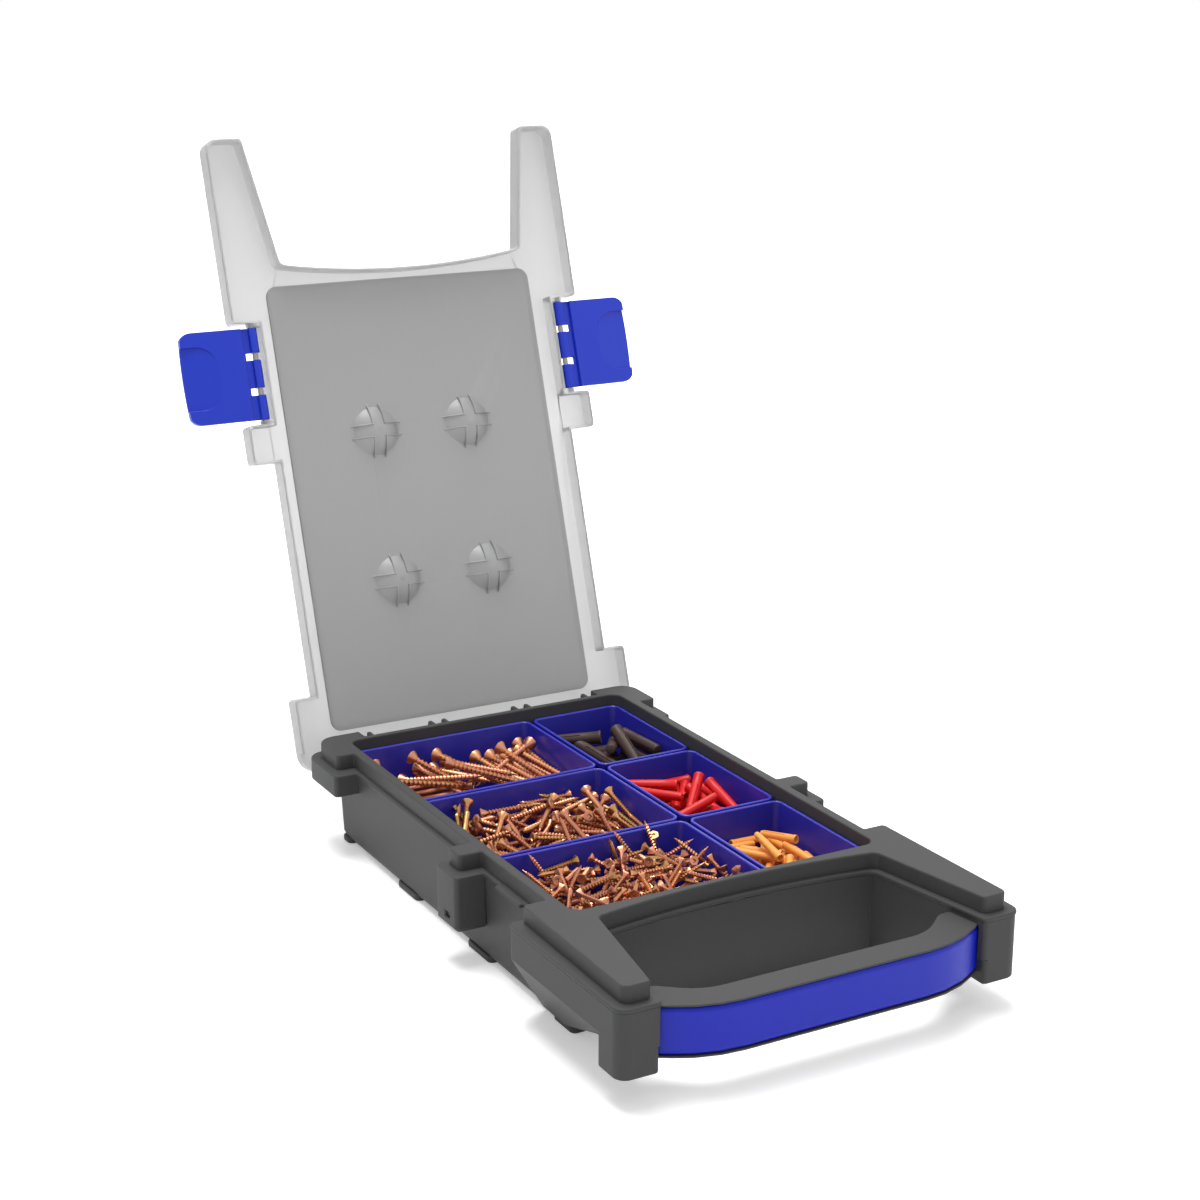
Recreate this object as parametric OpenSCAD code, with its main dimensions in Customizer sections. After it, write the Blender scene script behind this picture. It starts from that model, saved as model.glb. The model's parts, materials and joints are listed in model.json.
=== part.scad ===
// Carry case for small parts: a grey tray with two arms and a fixed carry handle, a clear hinged
// lid with two side latches, and six lift-out bins full of countersunk screws and wall plugs.
// Millimetres, +Z up, the handle at -Y and the lid hinge at +Y. The case is open, as it stands
// for use. Pieces are drawn with the rim top at z = 0 and the back bins' back edge at y = 0,
// and placed() moves them to the origin: floor height, below the middle of the whole object.

/* [Tray] */
// Height from the floor to the rim top
base_h = 72; // [60:1:110]
// Drop from the rim top to the ledge that the lid's skirt stands on
ledge_drop = 10.6; // [9:0.2:13]
// Wall of the tray and its floor
wall = 3; // [2:0.2:4]
// Height of the feet under the floor
foot_h = 2.4; // [1:0.2:5]
// Gap between the bins and the edge of the opening
bin_gap = 1.6; // [0.8:0.1:3]
// Width of the rim beside the opening
rim_w = 6.8; // [5:0.2:9]
// Width of the rim behind the opening
rim_back_w = 4.2; // [3.4:0.2:5]
// Width of the rim in front of the opening, at the middle
rim_front_w = 4.6; // [4:0.2:8]
// Width of the ledge beside the rim
ledge_w = 2.8; // [2.6:0.1:4]
// How far the front wall curves in between the arms
front_curve = 8.4; // [4:0.2:12]

/* [Lugs and arms] */
// Reach of a lug's ledge beyond the ledge between the lugs
lug_reach = 19.8; // [16:0.2:24]
// Width of the ledge round the outside of a lug or arm
lug_ledge_w = 7; // [4:0.2:9]
// Distance of the middle lug's back face from the bins' back edge
mid_lug_y = 203.4; // [180:1:210]
// Length of the middle lug's top
mid_lug_len = 16; // [12:0.5:30]
// Distance of the arms' front face from the bins' back edge
arm_tip_y = 424.4; // [410:1:440]
// Width of an arm's top at its front end
arm_tip_w = 17.6; // [14:0.2:24]
// Length of the post at the end of an arm, along the case
post_len = 25.5; // [22:0.5:30]
// Drop from the rim top to the bottom of a post
post_drop = 53.5; // [48:0.5:60]

/* [Handle] */
// Thickness of the handle from front to back
handle_t = 22; // [18:0.5:26]
// Height of the handle
handle_h = 32; // [26:0.5:36]
// Drop from the rim top to the top of the handle
handle_drop = 15.7; // [13:0.1:18]
// Thickness of the coloured grip let into the handle's front
grip_t = 4; // [2.5:0.5:6]
// Edge of grey handle left above and below the grip
grip_lip = 1.4; // [1:0.1:3]

/* [Bins] */
// Length of a bin, along the case
bin_len = 105; // [100:0.5:107]
// Gap between neighbouring bins
bin_space = 4; // [2:0.2:5]
// Width of a large bin, in the left column
big_bin_w = 137.2; // [130:0.2:144]
// Width of a small bin, in the right column
small_bin_w = 69.8; // [64:0.2:76]
// Drop from the rim top to the bins' tops
bin_drop = 8.2; // [7:0.2:10]
// Wall of a bin
bin_wall = 1.6; // [1.2:0.1:2.2]
// Corner radius at the top of a bin
bin_r = 7; // [5:0.5:10]
// How much narrower each side of a bin is at its floor
bin_draft = 2.4; // [1:0.1:4]

/* [Lid] */
// Wall of the lid
lid_t = 2; // [1.4:0.1:2.4]
// Clearance of the closed lid over the rim
lid_gap = 1.9; // [1.8:0.1:2.4]
// Angle that the lid opens through, to its stop
open_angle = 108.2; // [95:0.2:112]
// Distance of the hinge axis behind the bins' back edge
hinge_y = 13.5; // [13.3:0.1:14]
// Drop from the rim top to the hinge axis
hinge_drop = 18.2; // [18:0.2:20]
// Depth of the step round the lid's middle panel
panel_step = 1.5; // [1:0.1:1.6]
// Radius of a hold-down dome, where it meets the lid
dome_r = 17.5; // [14:0.5:20]
// Diameter of the hinge pins
hinge_pin_d = 4; // [3:0.1:5]

/* [Latches] */
// Length of a latch along its pin
latch_len = 65; // [56:0.5:68]
// Reach of a latch from its pin to its free edge
latch_reach = 55.4; // [48:0.2:56]
// Thickness of a latch
latch_t = 5; // [4:0.2:6]
// Diameter of the latch pins
latch_pin_d = 4; // [3:0.1:4.4]

/* [Contents] */
// Length of the large screws
screw_large_len = 72; // [60:1:80]
// Length of the medium screws
screw_medium_len = 40; // [30:1:42]
// Length of the small screws
screw_small_len = 28; // [20:1:30]
// Room that the brown plugs leave in the width of their bin
plug_brown_room = 19.8; // [14:0.2:30]
// Room that the red plugs leave in the width of their bin
plug_red_room = 29.8; // [14:0.2:36]
// Room that two orange plugs, end to end, leave in the width of their bin
plug_orange_room = 13.6; // [13.2:0.2:20]

/* [Hidden] */
$fn = 32;
// Degrees per facet of a rounded corner, and overrun of cuts
arc_step = 11.25;
over = 1;
// Clearances: a let-in part, a turning pin, a fixed pin, a resting part, and between moving sides
set_gap = 0.1;
turn_gap = 0.08;
fixed_gap = 0.04;
rest_gap = 0.2;
side_gap = 0.4;

// Places of the bins, the opening and the rim
bin_rows = 3;
bin_pitch = bin_len + bin_space;
bins_len = bin_rows * bin_pitch - bin_space;
bins_w = big_bin_w + bin_space + small_bin_w;
open_x = bins_w / 2 + bin_gap;
open_back = bin_gap;
open_front = -bins_len - bin_gap;
open_r = 8;
bin_floor_z = foot_h + wall + rest_gap - base_h;
rim_x = open_x + rim_w;
rim_back = open_back + rim_back_w;
rim_front = open_front - rim_front_w;
ledge_x = rim_x + ledge_w;
ledge_back = rim_back + ledge_w;
ledge_front = rim_front - ledge_w;
floor_z = foot_h - base_h;

// Lugs and corner blocks: a lug's ledge shows most in front, and least behind
lug_x = ledge_x + lug_reach;
lug_ledge_back = 2.8;
lug_ledge_front = 9;
lug_r = 3;
root_r = 1.2;
corner_front = -22.6;
corner_back = 16.4;
corner_r = 13;
corner_top_in = 3;
corner_in = 3.4;
corner_ledge_more = 2;
corner_block_w = 39.8;
corner_ledge_y = corner_front - lug_ledge_front - corner_ledge_more;
corner_top_x = lug_x - lug_ledge_w - corner_top_in;
corner_x = lug_x - corner_in;
block_in = corner_x - corner_block_w;
corner_block_drop = 26;
mid_block_drop = 48;
mid_front = -mid_lug_y - mid_lug_len;
block_tuck = 2.4;

// The latch's bay lies between the middle lug and the arm, and is as long as the latch and its eyes
eye_t = 3;
eye_sink = 0.4;
bay_back = mid_front - lug_ledge_front;
bay_front = bay_back - latch_len - 2 * (side_gap + eye_t);
arm_y = lug_ledge_back - bay_front;

// Arms: the top's inner edge runs from the front wall to the arm's tip
arm_root_x = 98;
arm_root_r = 5;
arm_tip_r = 5;
arm_top_out = 1.6;
arm_taper = 2;
arm_out_x = lug_x - lug_ledge_w + arm_top_out;
arm_in_x = arm_out_x - arm_tip_w;
arm_ledge_in = 3.6;
arm_ledge_tip = 6.4;
arm_front = -arm_tip_y;
arm_ledge_front = arm_front - arm_ledge_tip;
post_back = arm_ledge_front + post_len;
post_in_set = 1;
post_in = arm_in_x - arm_ledge_in + post_in_set;
post_r = 8;
arm_flare = 0.6;
arm_crease_drop = 32.5;
arm_belly_drop = 38;
arm_belly_y = -328;
arm_belly_r = 12;
arm_fillet = 5;
under_inset = 0.4;

// Handle, from its front face back; its ends turn back towards the arms
handle_front = -440;
handle_turn = 33;
handle_straight = 85.5;
handle_r_most = 80;
handle_back_x = 77;
handle_back_r = 36;
handle_root_r = 9;
handle_sink = 5;
handle_end = post_in + handle_sink;
handle_root_y = -400.5;
grip_end = post_in - rest_gap;
handle_r = min(handle_r_most,
    (grip_end - handle_straight) / cos(handle_turn) / tan(handle_turn / 2) - grip_t);

// Hinge: fins on the tray, knuckles on the lid, in two pairs each side
hinge_z = -hinge_drop;
fin_t = 3;
fin_r = 4.8;
fin_top_y = 15.7;
fin_foot_drop = 30;
fin_turn = 120;
outer_hinge_w = 8.5;
inner_hinge = [26.5, 40];
outer_hinge = [block_in - outer_hinge_w, block_in];
knuckle_r = 4.4;
knuckle_back = 2.6;
pin_r = hinge_pin_d / 2;
hinge_pin_over = 1;
hinge_pin_sink = 9;
hinge_pin_in = inner_hinge[0] - hinge_pin_over;
hinge_pin_out = block_in + hinge_pin_sink;

// Lid
deck_z = lid_gap;
lid_top = lid_gap + lid_t;
skirt_t = 1.8;
skirt_gap = 0.4;
back_skirt_drop = 4;
panel_side_in = 2.5;
panel_front_in = 3.2;
panel_x = open_x - panel_side_in;
panel_back = -6;
panel_front = rim_front + panel_front_in;
panel_r = 8;
dome_x = 36.6;
dome_clear = 1.2;
dome_depth = bin_drop + lid_gap - dome_clear;
dome_rows = [1, 2];
rib_w = 1.2;
rib_in = 4;
rib_over = 3;
rib_proud = 0.6;
rib_reach = dome_r + rib_over;

// Latches, in the closed lid's frame: the pin runs along Y beside the lid's side
latch_mid_y = (bay_back + bay_front) / 2;
latch_barrel_r = 3.6;
latch_pin_out = 5.4;
latch_pin_x = ledge_x + latch_pin_out;
latch_pin_z = -6;
latch_pin_r = latch_pin_d / 2;
latch_notch = 5;
latch_notch_at = 12.4;
latch_notch_reach = 7;
latch_groove = [3, 9];
latch_groove_t = 2.4;
latch_corner_r = 9;
latch_bow = 1.4;
catch_w = 3;
catch_h = 3;
catch_share = 0.5;

// Contents
screw_large = [screw_large_len, 5, 10];
screw_medium = [screw_medium_len, 4, 8];
screw_small = [screw_small_len, 3.5, 7];
screw_tip_share = 0.1;
plug_brown = [small_bin_w - plug_brown_room, 10, 7];
plug_red = [small_bin_w - plug_red_room, 8, 5.4];
plug_orange = [(small_bin_w - plug_orange_room) / 2, 6, 4];
plug_bore_share = 2 / 3;
content_gap = 0.3;
content_columns = 3;

grey = [0.30, 0.30, 0.31];
blue = [0.10, 0.09, 0.50];
latch_blue = [0.24, 0.28, 0.74];
clear = [0.86, 0.87, 0.88, 0.6];
steel = [0.62, 0.63, 0.65];
screw_gold = [0.80, 0.55, 0.32];

// The open lid's farthest point behind and the handle's front set the origin's place
lid_tip = [arm_ledge_front - hinge_y, lid_top - hinge_z];
lid_open_y = hinge_y + lid_tip.x * cos(open_angle) + lid_tip.y * sin(open_angle);
origin_y = (handle_front + lid_open_y) / 2;

// Outlines are lists of corners [x, y, radius]
function unit(v) = v / norm(v);
function flat(c) = [c.x, c.y];

function fillet(a, b, c, r) =
    let (u = unit(a - b),
        w = unit(c - b),
        half = acos(u * w) / 2,
        centre = b + unit(u + w) * r / sin(half),
        from = b + u * r / tan(half) - centre,
        to = b + w * r / tan(half) - centre,
        start = atan2(from.y, from.x),
        turn = (atan2(to.y, to.x) - start + 540) % 360 - 180,
        n = ceil(abs(turn) / arc_step))
    [for (i = [0 : n]) centre + r * [cos(start + turn * i / n), sin(start + turn * i / n)]];

function rounded(path) =
    let (n = len(path))
    [for (i = [0 : n - 1])
        each path[i].z > 0
            ? fillet(flat(path[(i + n - 1) % n]), flat(path[i]), flat(path[(i + 1) % n]), path[i].z)
            : [flat(path[i])]];

function mirrored(half) =
    concat(half, [for (i = [len(half) - 1 : -1 : 0]) [-half[i].x, half[i].y, half[i].z]]);

// The front wall's curve, from left to right, without its ends
function front_arc(mid_y, half_w, sag, n = 12) =
    let (r = (half_w * half_w + sag * sag) / (2 * sag),
        reach = asin(half_w / r))
    [for (i = [1 - n : n - 1])
        [r * sin(reach * i / n), mid_y - r + r * cos(reach * i / n), 0]];

module shape(path) {
    polygon(rounded(path));
}

module slab(path, low, high) {
    translate([0, 0, low])
        linear_extrude(high - low)
            shape(path);
}

function box_path(x0, x1, y0, y1, r) = [[x0, y0, r], [x1, y0, r], [x1, y1, r], [x0, y1, r]];

// The rim's outline, with its lugs and arm tops
rim_half = [
    [arm_root_x, rim_front - front_curve, arm_root_r],
    [arm_in_x, arm_front, lug_r],
    [arm_out_x, arm_front, arm_tip_r],
    [arm_out_x - arm_taper, -arm_y, lug_r],
    [rim_x, -arm_y, root_r],
    [rim_x, mid_front, root_r],
    [lug_x - lug_ledge_w, mid_front, lug_r],
    [lug_x - lug_ledge_w, -mid_lug_y, lug_r],
    [rim_x, -mid_lug_y, root_r],
    [rim_x, corner_front, root_r],
    [corner_top_x, corner_front, lug_r],
    [corner_top_x, corner_back, corner_r],
    [block_in, corner_back, root_r],
    [block_in, rim_back, root_r]];
rim_path = concat(front_arc(rim_front, arm_root_x, front_curve), mirrored(rim_half));

// The ledge's outline, which the lid's skirt follows; inset shrinks it
function ledge_half(e) = [
    [arm_root_x - arm_ledge_in + e, ledge_front - front_curve + e, arm_root_r],
    [arm_in_x - arm_ledge_in + e, arm_ledge_front + e, lug_r],
    [lug_x + arm_flare - e, arm_ledge_front + e, post_r],
    [lug_x + arm_flare - e, lug_ledge_back - arm_y - e, lug_r],
    [ledge_x - e, lug_ledge_back - arm_y - e, root_r],
    [ledge_x - e, mid_front - lug_ledge_front + e, root_r],
    [lug_x - e, mid_front - lug_ledge_front + e, lug_r],
    [lug_x - e, lug_ledge_back - mid_lug_y - e, lug_r],
    [ledge_x - e, lug_ledge_back - mid_lug_y - e, root_r],
    [ledge_x - e, corner_ledge_y + e, root_r],
    [corner_x - e, corner_ledge_y + e, lug_r],
    [corner_x - e, corner_back + lug_ledge_back - e, corner_r],
    [block_in + e, corner_back + lug_ledge_back - e, root_r],
    [block_in + e, ledge_back - e, root_r]];
function ledge_path(e) =
    concat(front_arc(ledge_front + e, arm_root_x, front_curve), mirrored(ledge_half(e)));

// Everything is drawn from the rim top and the bins' back edge, then moved to the origin
module placed() {
    translate([0, -origin_y, base_h])
        children();
}

module both_sides() {
    children();
    mirror([1, 0, 0])
        children();
}

module open_lid() {
    translate([0, hinge_y, hinge_z])
        rotate([-open_angle, 0, 0])
            translate([0, -hinge_y, -hinge_z])
                children();
}

// A rod along X or along Y
module x_rod(x0, x1, y, z, r) {
    translate([x0, y, z])
        rotate([0, 90, 0])
            cylinder(h = x1 - x0, r = r);
}

module y_rod(x, z, y0, y1, r) {
    translate([x, y0, z])
        rotate([-90, 0, 0])
            cylinder(h = y1 - y0, r = r);
}

// An outline in Y and Z, drawn across from x0 to x1
module side_slab(x0, x1, points) {
    translate([x0, 0, 0])
        rotate([90, 0, 90])
            linear_extrude(x1 - x0)
                polygon(points);
}

// The tray's body under the ledge: drafted sides, and a rounded edge at the floor
tray_draft = 2.2;
tray_soft = 5;
tray_r = 9;

soft_share = 1 - cos(45);

// The body's outline lower down, in from its top by the draft, and by more at the rounded floor edge
function tray_ring(draft, more) =
    box_path(under_inset + draft + more - ledge_x, ledge_x - under_inset - draft - more,
        ledge_front - front_curve + under_inset + more, ledge_back - under_inset - draft - more, tray_r);

module tray_body() {
    front = ledge_front - front_curve + under_inset;
    side = ledge_x - under_inset;
    back = ledge_back - under_inset;
    mid = tray_soft * soft_share;
    top = box_path(-side, side, front, back, tray_r);
    low = tray_ring(tray_draft, 0);
    knee = tray_ring(tray_draft, mid);
    foot = tray_ring(tray_draft, tray_soft);
    difference() {
        hull() {
            slab(top, -ledge_drop - over, -ledge_drop);
            slab(low, floor_z + tray_soft, floor_z + tray_soft + over);
            slab(knee, floor_z + mid, floor_z + mid + over);
            slab(foot, floor_z, floor_z + over);
        }
        front_bite();
    }
}

// What the curved front wall leaves out of the tray's body
module front_bite() {
    r = (arm_root_x * arm_root_x + front_curve * front_curve) / (2 * front_curve);
    intersection() {
        translate([0, ledge_front + under_inset - r, floor_z - over])
            cylinder(h = base_h, r = r, $fn = 240);
        translate([-ledge_x, ledge_front - front_curve - over, floor_z - over])
            cube([2 * ledge_x, front_curve + over, base_h]);
    }
}

// The arm's inner side under the ledge, at y, moved in by e
function arm_inner_x(y, e) =
    let (root = ledge_half(under_inset + e)[0],
        tip = ledge_half(under_inset + e)[1])
    root.x + (tip.x - root.x) * (y - root.y) / (tip.y - root.y);

// An arm below its ledge, from the tray to the post, with a belly that rises towards the post
module arm_body() {
    out = lug_x + arm_flare - under_inset;
    back = lug_ledge_back - arm_y - under_inset;
    front = arm_ledge_front + under_inset;
    foot = ledge_x - tray_draft;
    difference() {
        intersection() {
            slab([[arm_inner_x(back, 0), back, 0], [arm_inner_x(front, 0), front, lug_r],
                [out, front, post_r], [out, back, lug_r]], floor_z - over, -ledge_drop);
            side_slab(0, 2 * out, rounded([[back + over, over - ledge_drop, 0], [back + over, floor_z, 0],
                [arm_belly_y, floor_z, arm_belly_r], [post_back + arm_fillet, -arm_belly_drop, arm_fillet],
                [front - over, -arm_belly_drop, 0], [front - over, over - ledge_drop, 0]]));
        }
        belly_cut(out, foot, back, front);
    }
    slab([[post_in, post_back, lug_r], [post_in, front, lug_r], [out, front, post_r],
        [out, post_back, lug_r]], -post_drop, -ledge_drop);
}

// Takes off the arm's lower outer corner, from a crease in its side to the tray's lower edge
module belly_cut(out, foot, back, front) {
    slope = (out - foot) / (-floor_z - arm_crease_drop);
    translate([0, back + over, 0])
        rotate([90, 0, 0])
            linear_extrude(back - front + 2 * over)
                polygon([
                    [out + over * slope, over - arm_crease_drop],
                    [foot - over * slope, floor_z - over],
                    [2 * out, floor_z - over],
                    [2 * out, over - arm_crease_drop]]);
}

// A lug's block below its ledge, tucked in at the foot
module lug_block(x_out, y_front, y_back, drop, tuck, r) {
    slab(box_path(rim_x, x_out, y_front, y_back, r), tuck - drop, -ledge_drop);
    slab(box_path(rim_x, x_out - tuck, y_front + tuck, y_back - tuck, r), -drop, tuck - drop);
}

// A small pocket low in the middle lug's outer side
pocket_w = 7;
pocket_h = 4;
pocket_t = 2;
pocket_drop = 37;
pocket_in = 9;

module lug_pocket() {
    y0 = bay_back + pocket_in;
    slab(box_path(lug_x - pocket_t, lug_x + over, y0, y0 + pocket_w, 0),
        -pocket_drop - pocket_h, -pocket_drop);
}

module lug_blocks() {
    lug_block(lug_x, bay_back, lug_ledge_back - mid_lug_y, mid_block_drop, block_tuck, lug_r);
    slab([[block_in, ledge_back - wall, 0], [rim_x, corner_ledge_y, 0],
        [corner_x, corner_ledge_y, lug_r],
        [corner_x, corner_back + lug_ledge_back, corner_r],
        [block_in, corner_back + lug_ledge_back, root_r]], -corner_block_drop, -ledge_drop);
}

// A catch below the ledge of the latch bay, which the latch's groove snaps over
module catch() {
    half = catch_share * latch_len / 2;
    slab(box_path(ledge_x - wall, ledge_x + catch_w, latch_mid_y - half, latch_mid_y + half, 0),
        -ledge_drop - catch_h, -ledge_drop);
}

// A fin in front of or behind a knuckle, with the pin's boss
module fin(x0) {
    top = [[rim_back - wall, -lid_t / 2], [fin_top_y, -lid_t / 2]];
    boss = [for (a = [0 : -arc_step : -fin_turn])
        [hinge_y + fin_r * cos(a), hinge_z + fin_r * sin(a)]];
    side_slab(x0, x0 + fin_t, concat(top, boss, [[rim_back - wall, -fin_foot_drop]]));
}

module fins() {
    fin(inner_hinge[0]);
    fin(inner_hinge[1] - fin_t);
    fin(outer_hinge[0]);
}

// The space for the bins, with a lip under the rim's inner edge
lip_drop = 14;

module tray_space() {
    slab(box_path(-open_x, open_x, open_front, open_back, open_r), floor_z + wall, over);
    slab(box_path(tray_draft + wall - ledge_x, ledge_x - wall - tray_draft, open_front, open_back, open_r),
        floor_z + wall + tray_soft, -lip_drop);
}

// The hollow of an arm and its post, open below
module arm_hollow() {
    out = lug_x + arm_flare - under_inset - wall;
    foot = ledge_x - tray_draft - wall;
    back = ledge_front - front_curve - wall;
    front = arm_ledge_front + under_inset + wall;
    slope = (out - foot) / (-floor_z - arm_crease_drop);
    low = floor_z - over;
    intersection() {
        slab([[arm_inner_x(back, wall), back, 0], [arm_inner_x(front, wall), front, 0],
            [out, front, post_r - wall], [out, back, 0]], low, -ledge_drop - wall);
        translate([0, back + over, 0])
            rotate([90, 0, 0])
                linear_extrude(back - front + 2 * over)
                    polygon([[0, 0], [out + over, 0], [out + over, over * slope - arm_crease_drop],
                        [foot - over * slope, low], [0, low]]);
    }
    slab([[post_in + wall, post_back - wall, 0], [post_in + wall, front, 0], [out, front, post_r - wall],
        [out, post_back - wall, 0]], -post_drop - over, -ledge_drop - wall);
}

// The handle's outline from above, its front face moved in by e
function handle_front_half(e) =
    let (corner_dx = e * tan(handle_turn / 2))
    [[handle_straight - corner_dx, handle_front + e, handle_r - e],
    [handle_end, handle_front + e + (handle_end - handle_straight + corner_dx) * tan(handle_turn), 0]];
handle_back_half = [
    [handle_end, handle_root_y, 0],
    [arm_root_x, handle_root_y, handle_root_r],
    [handle_back_x, handle_front + handle_t, handle_back_r]];

function cut_at(x, e) =
    [x, handle_front + e + (x - handle_straight + e * tan(handle_turn / 2)) * tan(handle_turn), 0];

module handle_bar() {
    slab(mirrored(concat(handle_front_half(0), handle_back_half)), -handle_drop - handle_h, -handle_drop);
}

module grip_shape(e) {
    front = handle_front_half(-e)[0];
    back = handle_front_half(grip_t + e)[0];
    x_end = grip_end + e;
    slab(mirrored([front, cut_at(x_end, -e), cut_at(x_end, grip_t + e), back]),
        -handle_drop - handle_h + grip_lip - e, -handle_drop - grip_lip + e);
}

// Feet along both sides of the floor
foot_w = 12;
foot_r = 4;
foot_over = 2;
foot_ys = [[-11, 2], [-123, -91], [-230, -197], [-337, -312]];

module feet() {
    x1 = ledge_x - tray_draft;
    for (y = foot_ys)
        slab(box_path(x1 - foot_w, x1, y[0], y[1], foot_r), -base_h, floor_z + foot_over);
}

module base_tray() {
    color(grey)
        placed()
            difference() {
                union() {
                    tray_body();
                    slab(rim_path, -ledge_drop - over, 0);
                    slab(ledge_path(0), -ledge_drop - wall, -ledge_drop);
                    both_sides() {
                        arm_body();
                        lug_blocks();
                        catch();
                        fins();
                        feet();
                    }
                    handle_bar();
                }
                tray_space();
                grip_shape(set_gap);
                both_sides() {
                    arm_hollow();
                    lug_pocket();
                    x_rod(hinge_pin_in - over, hinge_pin_out + rest_gap, hinge_y, hinge_z,
                        pin_r + fixed_gap);
                }
            }
}

module handle_grip() {
    color(latch_blue)
        placed()
            grip_shape(0);
}

module hinge_pin() {
    color(steel)
        placed()
            x_rod(hinge_pin_in, hinge_pin_out, hinge_y, hinge_z, pin_r);
}

module hinge_pin_right() {
    hinge_pin();
}

module hinge_pin_left() {
    mirror([1, 0, 0])
        hinge_pin();
}

// A knuckle hangs from the lid between two fins; limits holds the fins' inner faces
module knuckle(limits) {
    boss = [for (a = [0 : -arc_step : -180])
        [hinge_y + knuckle_r * cos(a), hinge_z + knuckle_r * sin(a)]];
    side_slab(limits[0] + side_gap, limits[1] - side_gap,
        concat([[hinge_y - knuckle_r, deck_z], [ledge_back - skirt_t, lid_top],
            [hinge_y + knuckle_back, lid_top], [hinge_y + knuckle_r, deck_z - knuckle_back]], boss));
}

module knuckles() {
    knuckle([inner_hinge[0] + fin_t, inner_hinge[1] - fin_t]);
    knuckle([outer_hinge[0] + fin_t, outer_hinge[1]]);
}

module dome(r, depth) {
    ball = (r * r + depth * depth) / (2 * depth);
    low = deck_z - panel_step;
    translate([0, 0, low])
        intersection() {
            translate([0, 0, ball - depth])
                sphere(ball, $fn = 48);
            translate([0, 0, -depth])
                cylinder(h = depth + lid_t / 2, r = r, $fn = 48);
        }
}

// Thin ribs round a cross on the dome, which stand a little proud of it and follow it
module dome_ribs(depth) {
    intersection() {
        dome(rib_reach, depth + rib_proud);
        for (turn = [0 : 90 : 270])
            rotate(turn) {
                slab(box_path(rib_in, rib_reach, rib_in, rib_in + rib_w, 0), -bin_drop, deck_z);
                slab(box_path(rib_in, rib_in + rib_w, rib_in, rib_reach, 0), -bin_drop, deck_z);
            }
    }
}

module at_domes() {
    for (row = dome_rows)
        translate([dome_x, bin_space / 2 - row * bin_pitch, 0])
            children();
}

panel_path = box_path(-panel_x, panel_x, panel_front, panel_back, panel_r);
function panel_inset(e) =
    box_path(e - panel_x, panel_x - e, panel_front + e, panel_back - e, panel_r - e);

// An ear that holds one end of a latch pin, and its bore, which stops in the lug's skirt
module eye(y0, y1) {
    r = latch_barrel_r;
    translate([0, y1, 0])
        rotate([90, 0, 0])
            linear_extrude(y1 - y0)
                polygon(concat([[ledge_x - skirt_t, latch_pin_z - r], [ledge_x - skirt_t, latch_pin_z + r]],
                    [for (a = [90 : -arc_step : -90])
                        [latch_pin_x + r * cos(a), latch_pin_z + r * sin(a)]]));
}

latch_y0 = latch_mid_y - latch_len / 2;
latch_y1 = latch_mid_y + latch_len / 2;

module lid_shell() {
    difference() {
        union() {
            slab(ledge_path(0), skirt_gap - ledge_drop, lid_top);
            slab(panel_path, deck_z - panel_step, lid_top);
        }
        difference() {
            slab(ledge_path(skirt_t), -ledge_drop - over, deck_z);
            slab(panel_path, deck_z - panel_step, deck_z + over);
        }
        slab(panel_inset(lid_t), lid_top - panel_step, lid_top + over);
        back_cut();
    }
}

// The skirt stops short behind, so that it clears the tray as the lid opens, and between the corner
// blocks there is none, because the fins and knuckles are there
module back_cut() {
    front = ledge_back - 2 * skirt_t;
    back = corner_back + lug_ledge_back + over;
    slab(box_path(-lug_x, lug_x, front, back, 0), -ledge_drop - over, -back_skirt_drop);
    between = block_in + skirt_t + side_gap;
    slab(box_path(-between, between, front, back, 0), -ledge_drop - over, deck_z);
}

module lid() {
    color(clear)
        placed()
            open_lid()
                difference() {
                    union() {
                        lid_shell();
                        both_sides() {
                            knuckles();
                            eye(latch_y1 + side_gap, bay_back + eye_sink);
                            eye(bay_front - eye_sink, latch_y0 - side_gap);
                            at_domes() {
                                dome(dome_r, dome_depth - panel_step);
                                dome_ribs(dome_depth - panel_step);
                            }
                        }
                    }
                    both_sides() {
                        x_rod(hinge_pin_in, hinge_pin_out, hinge_y, hinge_z, pin_r + turn_gap);
                        y_rod(latch_pin_x, latch_pin_z, bay_front, bay_back, latch_pin_r + fixed_gap);
                        at_domes()
                            translate([0, 0, lid_t])
                                dome(dome_r - lid_t / 2, dome_depth - panel_step);
                    }
                }
}

module latch_pin() {
    color(clear)
        placed()
            open_lid()
                y_rod(latch_pin_x, latch_pin_z, bay_front + set_gap, bay_back - set_gap, latch_pin_r);
}

module latch_pin_right() {
    latch_pin();
}

module latch_pin_left() {
    mirror([1, 0, 0])
        latch_pin();
}

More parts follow.
